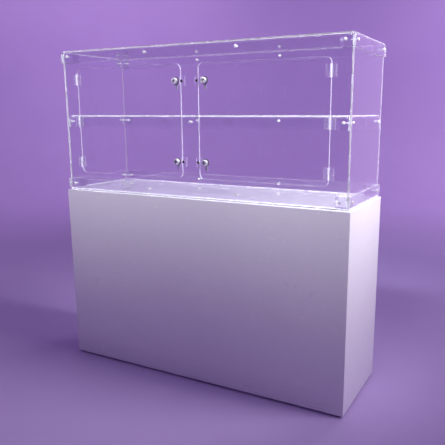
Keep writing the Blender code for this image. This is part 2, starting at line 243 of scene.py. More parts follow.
def dust_group():
    """Dust that settles on what faces up, in drifts."""
    tree, given, out = group("settled_dust", [
        ("Place", VECTOR, (0, 0, 0)), ("Amount", FLOAT, 0.4),
    ], [("Mask", FLOAT)])
    facing = add(tree, "ShaderNodeSeparateXYZ", {
        "Vector": add(tree, "ShaderNodeNewGeometry").outputs["Normal"]}).outputs["Z"]
    up = ramped(tree, facing, 0.35, 1.0)
    drift = add(tree, "ShaderNodeTexNoise", {"Vector": given["Place"], "Scale": 14.0, "Detail": 8.0,
                                             "Roughness": 0.7})
    patchy = ramped(tree, drift.outputs["Fac"], 0.3, 0.75)
    mask = sums(tree, "MULTIPLY", sums(tree, "MULTIPLY", up, patchy), given["Amount"])
    tree.links.new(mask, out.inputs["Mask"])
    return tree


def touch_group():
    """Smears left by hands, in blots gathered into broad patches."""
    tree, given, out = group("hand_smears", [
        ("Place", VECTOR, (0, 0, 0)), ("Scale", FLOAT, 26.0), ("Amount", FLOAT, 0.5),
    ], [("Mask", FLOAT)])
    bent = add(tree, "ShaderNodeTexNoise", {"Vector": given["Place"], "Scale": given["Scale"],
                                            "Detail": 3.0, "Distortion": 1.6})
    blot = ramped(tree, bent.outputs["Fac"], 0.52, 0.70)
    wide = add(tree, "ShaderNodeTexNoise", {"Vector": given["Place"], "Scale": 3.2, "Detail": 1.0})
    where = ramped(tree, wide.outputs["Fac"], 0.48, 0.66)
    mask = sums(tree, "MULTIPLY", sums(tree, "MULTIPLY", blot, where), given["Amount"])
    tree.links.new(mask, out.inputs["Mask"])
    return tree


def corner_wear_group():
    """Rubbed arrises of a box that stands on the origin: its upright corners and its top edge."""
    tree, given, out = group("corner_wear", [
        ("Place", VECTOR, (0, 0, 0)), ("Half Width", FLOAT, 1.0), ("Half Depth", FLOAT, 1.0),
        ("Top", FLOAT, 1.0), ("Reach", FLOAT, 0.003),
    ], [("Mask", FLOAT)])
    at = add(tree, "ShaderNodeSeparateXYZ", {"Vector": given["Place"]})
    from_side = sums(tree, "SUBTRACT", given["Half Width"], sums(tree, "ABSOLUTE", at.outputs["X"]))
    from_face = sums(tree, "SUBTRACT", given["Half Depth"], sums(tree, "ABSOLUTE", at.outputs["Y"]))
    from_top = sums(tree, "SUBTRACT", given["Top"], at.outputs["Z"])
    corner = sums(tree, "MAXIMUM", from_side, from_face)
    rim = sums(tree, "MAXIMUM", from_top, sums(tree, "MINIMUM", from_side, from_face))
    nearest = sums(tree, "MINIMUM", corner, rim)
    ragged = add(tree, "ShaderNodeTexNoise", {"Vector": given["Place"], "Scale": 70.0, "Detail": 6.0})
    reach = sums(tree, "MULTIPLY", given["Reach"], ramped(tree, ragged.outputs["Fac"], 0.35, 0.7, 0.0, 1.6))
    worn = sums(tree, "SUBTRACT", 1.0, ramped(tree, sums(tree, "DIVIDE", nearest, reach), 0.5, 1.0))
    tree.links.new(worn, out.inputs["Mask"])
    return tree


CLOUDINESS = cloudiness_group()
HAIRLINES = hairlines_group()
SETTLED_DUST = dust_group()
HAND_SMEARS = touch_group()
CORNER_WEAR = corner_wear_group()


# ---------------------------------------------------------------- finishes
def blank(name):
    """A material with its Principled shader and the place on the object: (material, tree, shader, place)."""
    material = bpy.data.materials.new(name)
    material.use_nodes = True
    tree = material.node_tree
    place = add(tree, "ShaderNodeTexCoord").outputs["Object"]
    return material, tree, tree.nodes["Principled BSDF"], place


def tinted(tree, mask, base, over):
    """A colour that goes from base to over as the mask goes from 0 to 1."""
    mix = add(tree, "ShaderNodeMix", data_type="RGBA")
    for index, colour in ((6, base), (7, over)):
        if isinstance(colour, bpy.types.NodeSocket):
            tree.links.new(colour, mix.inputs[index])
        else:
            mix.inputs[index].default_value = (*colour, 1.0)
    tree.links.new(mask, mix.inputs[0])
    return mix.outputs[2]


def set_bump(tree, shader, height, depth):
    """Relief on the finish: a height from 0 to 1, times a depth in metres."""
    bump = add(tree, "ShaderNodeBump", {"Height": height, "Strength": 1.0, "Distance": depth})
    tree.links.new(bump.outputs["Normal"], shader.inputs["Normal"])


def lacquer(name, base, roughness, dust):
    """Sprayed satin lacquer on board: a fine orange peel, rubbed arrises and scuffs near the floor."""
    material, tree, shader, place = blank(name)
    low, high = CAD_BOX[0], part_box("plinth_deck")[1]
    worn = placed(tree, CORNER_WEAR, Place=place, Half_Width=CAD_BOX[1].x, Half_Depth=CAD_BOX[1].y,
                  Top=high.z, Reach=0.0022).outputs["Mask"]
    settled = placed(tree, SETTLED_DUST, Place=place, Amount=dust).outputs["Mask"]
    drift = placed(tree, CLOUDINESS, Place=place, Scale=5.0, Low=0.0, High=1.0).outputs["Level"]
    height = add(tree, "ShaderNodeSeparateXYZ", {"Vector": place}).outputs["Z"]
    by_floor = ramped(tree, height, low.z + 0.10, low.z + 0.005)
    lines = placed(tree, HAIRLINES, Place=place, Scale=9.0, Amount=0.8).outputs["Mask"]
    scuffed = sums(tree, "MULTIPLY", lines, ramped(tree, by_floor, 0.0, 1.0, 0.12, 0.9))
    colour = tinted(tree, drift, base, [c * 0.975 for c in base])
    # darker towards the floor
    colour = tinted(tree, sums(tree, "MULTIPLY", by_floor, 0.16), colour, (0.52, 0.50, 0.50))
    colour = tinted(tree, scuffed, colour, (0.60, 0.59, 0.60))
    colour = tinted(tree, sums(tree, "MULTIPLY", worn, 0.45), colour, (0.94, 0.93, 0.91))
    colour = tinted(tree, settled, colour, (0.70, 0.69, 0.68))
    tree.links.new(colour, shader.inputs["Base Color"])
    rough = sums(tree, "ADD", ramped(tree, drift, 0.0, 1.0, roughness - 0.03, roughness + 0.05),
                 sums(tree, "MULTIPLY", sums(tree, "MAXIMUM", scuffed, settled), 0.3))
    tree.links.new(rough, shader.inputs["Roughness"])
    peel = add(tree, "ShaderNodeTexNoise", {"Vector": place, "Scale": 420.0, "Detail": 2.0})
    set_bump(tree, shader, peel.outputs["Fac"], 0.00006)
    return material


def through_shadows(tree, shader, tint):
    """Lets lamps through a clear finish, so that what stands behind it is lit."""
    path = add(tree, "ShaderNodeLightPath")
    open_side = add(tree, "ShaderNodeBsdfTransparent", {"Color": (*tint, 1.0)})
    mix = add(tree, "ShaderNodeMixShader", {0: path.outputs["Is Shadow Ray"], 1: shader.outputs["BSDF"],
                                            2: open_side.outputs["BSDF"]})
    output = tree.nodes["Material Output"]
    tree.links.new(mix.outputs["Shader"], output.inputs["Surface"])


def clear_sheet(name, tint, haze, bend=1.49):
    """Cast acrylic: water clear, with faint hairlines, patches of hand smears and dust on what faces up.

    bend is the refractive index; a block wetted onto the sheet beside it bends light less than one in air.
    """
    material, tree, shader, place = blank(name)
    lines = placed(tree, HAIRLINES, Place=place, Scale=14.0, Amount=0.5).outputs["Mask"]
    smears = placed(tree, HAND_SMEARS, Place=place, Scale=24.0, Amount=0.5).outputs["Mask"]
    settled = placed(tree, SETTLED_DUST, Place=place, Amount=0.35).outputs["Mask"]
    marks = sums(tree, "MAXIMUM", sums(tree, "MAXIMUM", lines, smears), settled)
    tree.links.new(tinted(tree, sums(tree, "MULTIPLY", marks, 0.5), tint, (0.86, 0.87, 0.90)),
                   shader.inputs["Base Color"])
    tree.links.new(ramped(tree, marks, 0.0, 1.0, haze, haze + 0.10), shader.inputs["Roughness"])
    wave = add(tree, "ShaderNodeTexNoise", {"Vector": place, "Scale": 3.5, "Detail": 1.0})
    set_bump(tree, shader, wave.outputs["Fac"], 0.00012)
    shader.inputs["Transmission Weight"].default_value = 1.0
    shader.inputs["IOR"].default_value = bend
    through_shadows(tree, shader, (0.95, 0.955, 0.97))
    return material


def painted_glow_rim(name, glow):
    """A flamed rim or a heated bend of clear sheet, with a painted glow for the light that the sheet carries
    out.
    """
    material, tree, shader, place = blank(name)
    drift = placed(tree, CLOUDINESS, Place=place, Scale=16.0, Low=0.0, High=1.0).outputs["Level"]
    saw = placed(tree, HAIRLINES, Place=place, Scale=40.0, Amount=0.7).outputs["Mask"]
    tree.links.new(tinted(tree, drift, (0.93, 0.92, 1.0), (0.82, 0.80, 0.93)), shader.inputs["Base Color"])
    rough = ramped(tree, sums(tree, "MAXIMUM", drift, saw), 0.0, 1.0, 0.16, 0.34)
    tree.links.new(rough, shader.inputs["Roughness"])
    # painted glow: the emission colour and strength make the rim shine of itself
    painted_glow_tint = tinted(tree, drift, (0.88, 0.78, 1.0), (0.62, 0.54, 0.74))
    tree.links.new(painted_glow_tint, shader.inputs["Emission Color"])
    shader.inputs["Emission Strength"].default_value = glow
    shader.inputs["Transmission Weight"].default_value = 0.52
    shader.inputs["IOR"].default_value = 1.49
    set_bump(tree, shader, saw, 0.0001)
    through_shadows(tree, shader, (0.90, 0.90, 0.93))
    return material


def plated(name, colour, roughness, lines_depth=0.00002, dark=0.72):
    """Plated or turned metal, with fine tool lines and a darker, duller film in patches."""
    material, tree, shader, place = blank(name)
    drift = placed(tree, CLOUDINESS, Place=place, Scale=160.0, Low=0.0, High=1.0).outputs["Level"]
    lines = placed(tree, HAIRLINES, Place=place, Scale=260.0, Amount=0.7).outputs["Mask"]
    tree.links.new(tinted(tree, drift, colour, [c * dark for c in colour]), shader.inputs["Base Color"])
    spread = sums(tree, "MAXIMUM", drift, lines)
    tree.links.new(ramped(tree, spread, 0.0, 1.0, roughness, roughness + 0.14), shader.inputs["Roughness"])
    shader.inputs["Metallic"].default_value = 1.0
    set_bump(tree, shader, lines, lines_depth)
    return material


def moulded(name, colour, roughness):
    """Moulded plastic or rubber with a fine grain and dust."""
    material, tree, shader, place = blank(name)
    settled = placed(tree, SETTLED_DUST, Place=place, Amount=0.6).outputs["Mask"]
    drift = placed(tree, CLOUDINESS, Place=place, Scale=90.0, Low=0.0, High=1.0).outputs["Level"]
    colour_in = tinted(tree, drift, colour, [c * 0.8 for c in colour])
    tree.links.new(tinted(tree, settled, colour_in, (0.45, 0.44, 0.43)), shader.inputs["Base Color"])
    rough = ramped(tree, sums(tree, "MAXIMUM", drift, settled), 0.0, 1.0, roughness, roughness + 0.2)
    tree.links.new(rough, shader.inputs["Roughness"])
    grain = add(tree, "ShaderNodeTexNoise", {"Vector": place, "Scale": 900.0, "Detail": 3.0})
    set_bump(tree, shader, grain.outputs["Fac"], 0.00008)
    return material


BOARD_LACQUER = lacquer("white_satin_lacquer", (0.86, 0.855, 0.87), 0.30, 0.25)
# the deck's lacquer is the boards' own made darker: painted shade on the top face
DECK_LACQUER_PAINTED_SHADE = lacquer("deck_satin_lacquer_painted_shade", (0.82, 0.815, 0.82), 0.50, 0.15)
SHEET_CLEAR = clear_sheet("clear_cast_sheet", (0.985, 0.99, 1.0), 0.0)
# rims and bends of the clear sheets, with a painted glow
RIM_PAINTED_GLOW = painted_glow_rim("flamed_sheet_rim_painted_glow", 0.07)
BEND_PAINTED_GLOW = painted_glow_rim("heated_sheet_bend_painted_glow", 0.12)
CLEAT_CLEAR = clear_sheet("clear_solid_block", (0.99, 0.99, 1.0), 0.0, 1.12)
HINGE_CLEAR = clear_sheet("moulded_clear_hinge", (0.98, 0.98, 1.0), 0.25)
PIN_STEEL = plated("ground_pin_steel", (0.70, 0.71, 0.73), 0.20)
SCREW_STEEL = plated("polished_screw_steel", (0.98, 0.98, 0.99), 0.52, dark=0.95)
NUT_STEEL = plated("zinc_nut_steel", (0.92, 0.92, 0.94), 0.46, dark=0.90)
LOCK_CHROME = plated("bright_lock_chrome", (0.97, 0.97, 0.98), 0.34, dark=0.92)
CAM_ZINC = plated("bright_cam_zinc", (0.84, 0.84, 0.87), 0.26, dark=0.86)
# black steel for the keeper bolts; on the knobs' slots it is painted shade
BLACK_BOLT_AND_SLOT_SHADE = plated("blacked_bolt_steel_and_slot_shade", (0.035, 0.035, 0.042), 0.38)
# black rubber washers; seen through the doors they are also painted shade round the knobs
WASHER_RUBBER_AND_SHADE_RING = moulded("black_washer_rubber_and_painted_shade", (0.022, 0.021, 0.024), 0.55)
FOOT_PLASTIC = moulded("black_glide_plastic", (0.045, 0.045, 0.050), 0.48)


# ---------------------------------------------------------------- shapes
def piece_of(name, mesh, *finishes):
    """An object for a mesh, in its finishes. Faces keep the finish that they were numbered for."""
    piece = bpy.data.objects.new(name, mesh)
    bpy.context.scene.collection.objects.link(piece)
    if mesh.materials:
        mesh.materials.clear()
    for finish in finishes:
        mesh.materials.append(finish)
    return piece


def mesh_of(name, bm):
    """A smooth mesh whose sharp edges stay sharp."""
    mesh = bpy.data.meshes.new(name)
    bm.to_mesh(mesh)
    bm.free()
    mesh.shade_smooth()
    mesh.set_sharp_from_angle(angle=SMOOTH_ANGLE)
    return mesh


def applied(piece):
    """The piece with its modifier stack made into its mesh."""
    graph = bpy.context.evaluated_depsgraph_get()
    mesh = bpy.data.meshes.new_from_object(piece.evaluated_get(graph), preserve_all_data_layers=True,
                                           depsgraph=graph)
    old = piece.data
    piece.modifiers.clear()
    piece.data = mesh
    bpy.data.meshes.remove(old)
    return piece


def thickened(piece):
    """Sheet thickness to both sides of a middle surface; a rim takes the finish after its own face's."""
    wall = piece.modifiers.new("sheet", "SOLIDIFY")
    wall.thickness = SHEET
    wall.offset = 0.0
    wall.use_even_offset = True
    wall.material_offset_rim = 1
    return softened(piece, RIM_ARRIS)


def softened(piece, width, segments=2):
    """A small round along every sharp edge."""
    edge = piece.modifiers.new("arris", "BEVEL")
    edge.width = width
    edge.segments = segments
    edge.limit_method = "ANGLE"
    edge.angle_limit = ARRIS_ANGLE
    edge.harden_normals = False
    return piece


def rounded_loop(low, high, radius, steps=12):
    """Points of an upright or flat rectangle with round corners, counter-clockwise."""
    points = []
    for corner, (sx, sy) in enumerate(((1, 1), (-1, 1), (-1, -1), (1, -1))):
        cx = (high[0] - radius) if sx > 0 else (low[0] + radius)
        cy = (high[1] - radius) if sy > 0 else (low[1] + radius)
        if radius <= 0:
            points.append((cx, cy))
            continue
        for step in range(steps + 1):
            angle = math.pi / 2 * (corner + step / steps)
            points.append((cx + radius * math.cos(angle), cy + radius * math.sin(angle)))
    return points


def circle_loop(centre, radius, steps=SMALL_ROUND_STEPS):
    """Points of a circle, counter-clockwise."""
    return [(centre[0] + radius * math.cos(2 * math.pi * k / steps),
             centre[1] + radius * math.sin(2 * math.pi * k / steps)) for k in range(steps)]


def cut_sheet(name, loops, upright, level, finishes=(SHEET_CLEAR, RIM_PAINTED_GLOW)):
    """A flat sheet from its outline and the holes in it.

    upright is the axis the sheet is square to, and level is its middle surface on that axis.
    """
    bm = bmesh.new()
    axis = "XYZ".index(upright)
    for loop in loops:
        corners = []
        for u, v in loop:
            place = [u, v]
            place.insert(axis, level)
            corners.append(bm.verts.new(place))
        for near, far in zip(corners, corners[1:] + corners[:1]):
            bm.edges.new((near, far))
    bmesh.ops.triangle_fill(bm, edges=bm.edges[:], use_beauty=True, use_dissolve=False)
    bmesh.ops.dissolve_limit(bm, angle_limit=FLAT_ANGLE, verts=bm.verts[:], edges=bm.edges[:],
                             use_dissolve_boundaries=False)
    bmesh.ops.recalc_face_normals(bm, faces=bm.faces)
    return thickened(piece_of(name, mesh_of(name, bm), *finishes))


def turned(profile, steps=ROUND_STEPS):
    """A closed turned shape about Z from (radius, height) points that run from the top down."""
    bm = bmesh.new()
    corners = [bm.verts.new((radius, 0, height)) for radius, height in profile]
    for near, far in zip(corners, corners[1:]):
        bm.edges.new((near, far))
    piece = piece_of("turning", mesh_of("turning", bm))
    screw = piece.modifiers.new("turned", "SCREW")
    screw.steps = steps
    screw.render_steps = steps
    screw.use_merge_vertices = True
    screw.merge_threshold = TURNED_MERGE
    applied(piece)
    bm = bmesh.new()
    bm.from_mesh(piece.data)
    bpy.data.objects.remove(piece, do_unlink=True)
    bmesh.ops.remove_doubles(bm, verts=bm.verts, dist=TURNED_MERGE)
    bmesh.ops.recalc_face_normals(bm, faces=bm.faces)
    return bm


def prism(radius, low, high, sides):
    """A closed prism about Z between two heights."""
    bm = bmesh.new()
    bmesh.ops.create_cone(bm, cap_ends=True, segments=sides, radius1=radius, radius2=radius,
                          depth=high - low)
    bmesh.ops.translate(bm, vec=(0, 0, (low + high) / 2), verts=bm.verts)
    return bm


def cut_by(piece, *cutters):
    """Takes the cutters' shapes away from the piece; the cut faces take its last finish."""
    tools = [piece_of(f"cutter_{number}", mesh_of("cutter", bm), *piece.data.materials)
             for number, bm in enumerate(cutters)]
    for tool in tools:
        for face in tool.data.polygons:
            face.material_index = len(piece.data.materials) - 1
        step = piece.modifiers.new("cut", "BOOLEAN")
        step.operation = "DIFFERENCE"
        step.solver = "EXACT"
        step.object = tool
    bpy.context.view_layer.update()
    applied(piece)
    for tool in tools:
        bpy.data.objects.remove(tool, do_unlink=True)
    piece.data.shade_smooth()
    piece.data.set_sharp_from_angle(angle=SMOOTH_ANGLE)
    return piece


def towards(direction, place):
    """Puts a shape made about Z, whose head looks to +Z, at a place with its head to a direction."""
    turn = Vector(direction).to_track_quat("Z", "Y").to_matrix().to_4x4()
    return Matrix.Translation(Vector(place)) @ turn


def settle(piece, body, slot, *nodes):
    """The piece rides on its body and stands for the CAD nodes it finishes. slot is not used.

    Its broad faces keep their own normals right up to the small rounds beside them, so they look flat.
    """
    shade = piece.modifiers.new("flat_faces", "WEIGHTED_NORMAL")
    shade.mode = "FACE_AREA"
    shade.weight = 100
    shade.keep_sharp = True
    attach(piece, body)
    if nodes:
        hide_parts(*nodes)
    return piece


def middle_of(node):
    """The middle of a CAD node's box."""
    low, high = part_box(node)
    return (low + high) / 2


# ---------------------------------------------------------------- where the screws are
LID_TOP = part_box("case_lid_tray")[1].z
SHELF_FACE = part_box("case_shelf_tray")[1].z
DECK_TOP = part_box("plinth_deck")[1].z
SCREW_ROWS = (
    ("lid", LID_TOP - LID_SCREW_DROP),
    ("shelf", SHELF_FACE - SHELF_SCREW_DROP),
    ("floor", DECK_TOP + FLOOR_SCREW_RISE),
)
FLANGE_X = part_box("case_lid_tray")[1].x
FLANGE_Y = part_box("case_lid_tray")[1].y
SCREW_X = FLANGE_X - SCREW_INSET
SCREW_Y = FLANGE_Y - SCREW_INSET
PANEL_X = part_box("case_right_panel")[1].x
PANEL_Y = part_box("case_back_panel")[1].y


def screw_places():
    """(name, place of the head's seat, direction of the head, whether a nut holds it) for each screw."""
    rows = []
    for level, height in SCREW_ROWS:
        seat_x = PANEL_X if level == "shelf" else FLANGE_X
        seat_y = PANEL_Y if level == "shelf" else FLANGE_Y
        for depth, y in DEPTHS:
            inner = (0.0,) if (level, depth) == ("shelf", "front") else (-SCREW_INNER_X, SCREW_INNER_X)
            columns = sorted((-SCREW_X, *inner, SCREW_X))
            for number, x in enumerate(columns):
                corner = number in (0, len(columns) - 1)
                rows.append((f"{level}_{depth}_screw_{number + 1}", (x, y * seat_y, height), (0, y, 0),
                             not corner))
        for side, x in SIDES:
            for number, y in enumerate((-SCREW_Y, SCREW_Y)):
                rows.append((f"{level}_{side}_screw_{number + 1}", (x * seat_x, y, height), (x, 0, 0),
                             False))
    return rows


def holes_through(axis, sign):
    """The screw holes of the panel that faces along an axis: circles in the panel's own plane."""
    found = []
    for _, place, direction, _ in screw_places():
        if direction[axis] * sign > 0:
            flat = [c for number, c in enumerate(place) if number != axis]
            found.append(circle_loop(flat, SHANK_R + DRILL_SLACK, SMALL_ROUND_STEPS // 2))
    return found


# ---------------------------------------------------------------- the plinth
def finish_plinth():
    """The boards' lacquer, the deck's copy of it darkened as painted shade, and a turned glide for each
    foot.
    """
    for name in ("front", "back", "left", "right"):
        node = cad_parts[f"plinth_{name}_board"]
        for slot in node.material_slots:
            slot.material = BOARD_LACQUER
    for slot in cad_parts["plinth_deck"].material_slots:
        slot.material = DECK_LACQUER_PAINTED_SHADE
    for side, _ in SIDES:
        for depth, _ in DEPTHS:
            node = f"plinth_foot_{depth}_{side}"
            low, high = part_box(node)
            radius = (high.x - low.x) / 2
            tall = high.z - low.z
            outline = [(radius * across, tall * up) for across, up in GLIDE_OUTLINE]
            bm = turned([(0, tall), *outline, (0, 0)])
            bm.transform(Matrix.Translation(((low.x + high.x) / 2, (low.y + high.y) / 2, low.z)))
            settle(piece_of(f"glide_{depth}_{side}", mesh_of("glide", bm), FOOT_PLASTIC), "cabinet",
                   "foot_plastic", node)


# ---------------------------------------------------------------- the showcase's sheets
def flanged_tray(name, node, upward):
    """A plate with four bent edges: flanges that meet at a slit, with a relief at each bend's end."""
    low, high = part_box(node)
    half_w, half_d = high.x, high.y
    face, tip = (low.z, high.z) if upward else (high.z, low.z)
    sense = 1 if upward else -1
    tray_finishes = (SHEET_CLEAR, RIM_PAINTED_GLOW, BEND_PAINTED_GLOW, RIM_PAINTED_GLOW)     # each face's finish, then its rim's; rims and bends carry a painted glow
    inset = SHEET / 2
    turn_r = BEND_R - inset
    flat_w, flat_d = half_w - BEND_R, half_d - BEND_R
    bm = bmesh.new()
    plate = [bm.verts.new((x * flat_w, y * flat_d, face + sense * inset)) for x, y in
             ((-1, -1), (1, -1), (1, 1), (-1, 1))]
    bm.faces.new(plate)
    side_end = half_d - SHEET - CORNER_SLIT
    # direction, reach, where the bend starts, and half the length along the bend and along the tip
    flanges = (
        ((0, -1), half_d, flat_d, flat_w, half_w),
        ((1, 0), half_w, flat_w, flat_d, side_end),
        ((0, 1), half_d, flat_d, flat_w, half_w),
        ((-1, 0), half_w, flat_w, flat_d, side_end),
    )
    for number, (direction, reach, flat, bend_half, tip_half) in enumerate(flanges):
        out = Vector((*direction, 0))
        along = Vector((-direction[1], direction[0], 0))
        edge = [plate[number], plate[(number + 1) % len(plate)]]
        painted_glow_reach = flat + turn_r * math.sin(PAINTED_GLOW_BEND)
        rows = []
        for step in range(1, BEND_STEPS + 1):
            angle = math.pi / 2 * step / BEND_STEPS
            rows.append((flat + turn_r * math.sin(angle), turn_r * (1 - math.cos(angle)), bend_half))
        rows.append((reach - inset, turn_r + SPREAD, tip_half))
        rows.append((reach - inset, abs(tip - face) - inset, tip_half))
        for distance, rise, half in rows:
            fresh = [bm.verts.new(out * distance + along * side * half
                                  + Vector((0, 0, face + sense * (inset + rise)))) for side in (-1, 1)]
            strip = bm.faces.new((edge[0], edge[1], fresh[1], fresh[0]))
            # strips of the bend near the plate take the painted glow
            strip.material_index = tray_finishes.index(BEND_PAINTED_GLOW if distance < painted_glow_reach else SHEET_CLEAR)
            edge = fresh
    bmesh.ops.recalc_face_normals(bm, faces=bm.faces)
    tray = thickened(piece_of(name, mesh_of(name, bm), *tray_finishes))
    drills = []
    for label, place, direction, _ in screw_places():
        if label.startswith(name.split("_")[0]):
            drill = prism(SHANK_R + DRILL_SLACK, -BEND_R * 2, BEND_R * 2, SMALL_ROUND_STEPS // 2)
            drill.transform(towards(direction, place))
            drills.append(drill)
    cut_by(tray, *drills)
    return settle(tray, "cabinet", "clear_acrylic", node)


def panel(node, name, axis, sign, extra=()):
    """An upright panel with its screw holes."""
    low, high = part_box(node)
    plane = [number for number in range(3) if number != axis]
    outline = rounded_loop([low[p] for p in plane], [high[p] for p in plane], 0)
    level = (low[axis] + high[axis]) / 2
    made = cut_sheet(name, [outline, *extra, *holes_through(axis, sign)], "XYZ"[axis], level)
    return settle(made, "cabinet", "clear_acrylic", node)


def door_window(side):
    """The outline of a door's cut-out in the front frame."""
    low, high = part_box(f"{side}_door")
    return rounded_loop((low.x - DOOR_GAP, low.z - DOOR_GAP), (high.x + DOOR_GAP, high.z + DOOR_GAP),
                        DOOR_CORNER_R + DOOR_GAP)


def keeper_holes():
    """The holes in the centre stile for the keepers' bolts."""
    found = []
    for side, x in SIDES:
        for level in LEVELS:
            height = middle_of(f"{side}_{level}_lock_barrel").z
            found.append(circle_loop((x * BOLT_X, height), SHANK_R + DRILL_SLACK))
    return found


def make_sheets():
    flanged_tray("floor_tray", "case_floor_tray", True)
    flanged_tray("shelf_tray", "case_shelf_tray", False)
    flanged_tray("lid_tray", "case_lid_tray", False)
    windows = [door_window(side) for side, _ in SIDES]
    panel("case_front_frame", "front_frame", 1, -1, [*windows, *keeper_holes()])
    panel("case_back_panel", "back_panel", 1, 1)
    panel("case_left_panel", "left_panel", 0, -1)
    panel("case_right_panel", "right_panel", 0, 1)


def solid_block(name, node, finish, arris, body, slot, cutters=(), sawn=None):
    """A polished block the size of its CAD node; a plate's four edges may take a sawn finish, which for the
    keepers has a painted glow.
    """
    low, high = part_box(node)
    bm = bmesh.new()
    bmesh.ops.create_cube(bm, size=1.0)
    bmesh.ops.scale(bm, vec=high - low, verts=bm.verts)
    bmesh.ops.translate(bm, vec=(low + high) / 2, verts=bm.verts)
    block = piece_of(name, mesh_of(name, bm), *(finish, sawn) if sawn else (finish,))
    for face in block.data.polygons:
        face.material_index = 1 if sawn and abs(face.normal.y) < 0.5 else 0
    softened(block, arris, 3)
    if cutters:
        cut_by(block, *cutters)
    return settle(block, body, slot, node)


def make_cleats():
    """Corner cleats, each tapped for the screws that come into it from two sides."""
    for level in ("floor", "shelf", "lid"):
        screws = [row for row in screw_places() if row[0].startswith(level) and not row[3]]
        for side, x in SIDES:
            for depth, y in DEPTHS:
                node = f"{level}_cleat_{depth}_{side}"
                drills = []
                for _, place, direction, _ in screws:
                    if place[0] * x > 0 and place[1] * y > 0:
                        drill = prism(SHANK_R + DRILL_SLACK, -CORNER_SCREW_L - DRILL_RUN, DRILL_RUN,
                                      SMALL_ROUND_STEPS // 2)
                        drill.transform(towards(direction, place))
                        drills.append(drill)
                solid_block(f"{level}_block_{depth}_{side}", node, CLEAT_CLEAR, CLEAT_ARRIS, "cabinet",
                            "clear_acrylic", drills)


# ---------------------------------------------------------------- screws
def screw_mesh(length):
    """A dome-headed screw about Z, its seat at the origin, with a six-sided socket and a run of thread."""
    dome = [(0, HEAD_H)]
    for step in range(1, DOME_STEPS):
        angle = math.pi / 2 * step / DOME_STEPS
        rise = HEAD_BRIM_H + (1 - HEAD_BRIM_H) * math.cos(angle)
        dome.append((HEAD_R * HEAD_DOME_R * math.sin(angle), HEAD_H * rise))
    shank = [(HEAD_R, HEAD_H * HEAD_BRIM_H), (HEAD_R, HEAD_H * HEAD_UNDER_H), (HEAD_R * HEAD_UNDER_R, 0),
             (SHANK_R, 0)]
    height = -THREAD_START
    while height > -length + THREAD_PITCH:
        shank += [(SHANK_R, height), (SHANK_R * THREAD_ROOT, height - THREAD_PITCH / 2)]
        height -= THREAD_PITCH
    shank += [(SHANK_R * SHANK_TIP, -length), (0, -length)]
    blank_mesh = mesh_of("screw_blank", turned(dome + shank, SMALL_ROUND_STEPS))
    screw = piece_of("screw_blank", blank_mesh, SCREW_STEEL)
    cut_by(screw, prism(SOCKET_R, HEAD_H - SOCKET_DEEP, HEAD_H * 2, 6))
    mesh = screw.data.copy()
    bpy.data.objects.remove(screw, do_unlink=True)
    return mesh


def nut_mesh():
    """A six-sided nut about Z, its seat at the origin, its outer corners turned off."""
    nut = piece_of("nut_blank", mesh_of("nut_blank", prism(NUT_R, -NUT_H, 0, 6)), NUT_STEEL)
    softened(nut, NUT_BEVEL)
    cut_by(nut, prism(SHANK_R + DRILL_SLACK, -NUT_H * 2, NUT_H, SMALL_ROUND_STEPS))
    mesh = nut.data.copy()
    bpy.data.objects.remove(nut, do_unlink=True)
    return mesh


def make_screws():
    """Every screw in its place, with a nut inside where no cleat takes it."""
    corner, through, nut = screw_mesh(CORNER_SCREW_L), screw_mesh(THROUGH_SCREW_L), nut_mesh()
    for name, place, direction, held in screw_places():
        mesh = (through if held else corner).copy()
        mesh.transform(towards(direction, place))
        settle(piece_of(name, mesh, SCREW_STEEL), "cabinet", "pin_steel")
        if held:
            behind = SHEET * 2 + CLEAR * 2
            fitted = nut.copy()
            fitted.transform(towards(direction, Vector(place) - Vector(direction) * behind))
            settle(piece_of(name.replace("screw", "nut"), fitted, NUT_STEEL), "cabinet", "pin_steel")


# ---------------------------------------------------------------- doors, hinges and locks
def make_doors():
    """Two round-cornered doors, drilled for their locks."""
    for side, _ in SIDES:
        node = f"{side}_door"
        low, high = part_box(node)
        loops = [rounded_loop((low.x, low.z), (high.x, high.z), DOOR_CORNER_R)]
        for level in LEVELS:
            lock = middle_of(f"{side}_{level}_lock_barrel")
            loops.append(circle_loop((lock.x, lock.z), BARREL_R + CLEAR, ROUND_STEPS))
        door = cut_sheet(f"{side}_door_leaf", loops, "Y", (low.y + high.y) / 2)
        settle(door, node, "clear_acrylic", node)


def refined_hinge_leaf(name, node, width):
    """A hinge leaf's CAD shape with its flat faces made whole: clear, with a painted glow on its edges and
    knuckle.
    """
    bm = bmesh.new()
    bm.from_mesh(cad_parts[node].data)
    bmesh.ops.remove_doubles(bm, verts=bm.verts, dist=CAD_MERGE)
    bmesh.ops.dissolve_limit(bm, angle_limit=FLAT_ANGLE, verts=bm.verts[:], edges=bm.edges[:])
    piece = piece_of(name, mesh_of(name, bm), HINGE_CLEAR, RIM_PAINTED_GLOW)
    leaf_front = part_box(node)[1].y - HINGE_SHEET
    for face in piece.data.polygons:
        on_knuckle = face.center.y < leaf_front - CLEAR / 2
        face.material_index = 1 if on_knuckle or abs(face.normal.y) < 0.5 else 0
    return softened(piece, width)


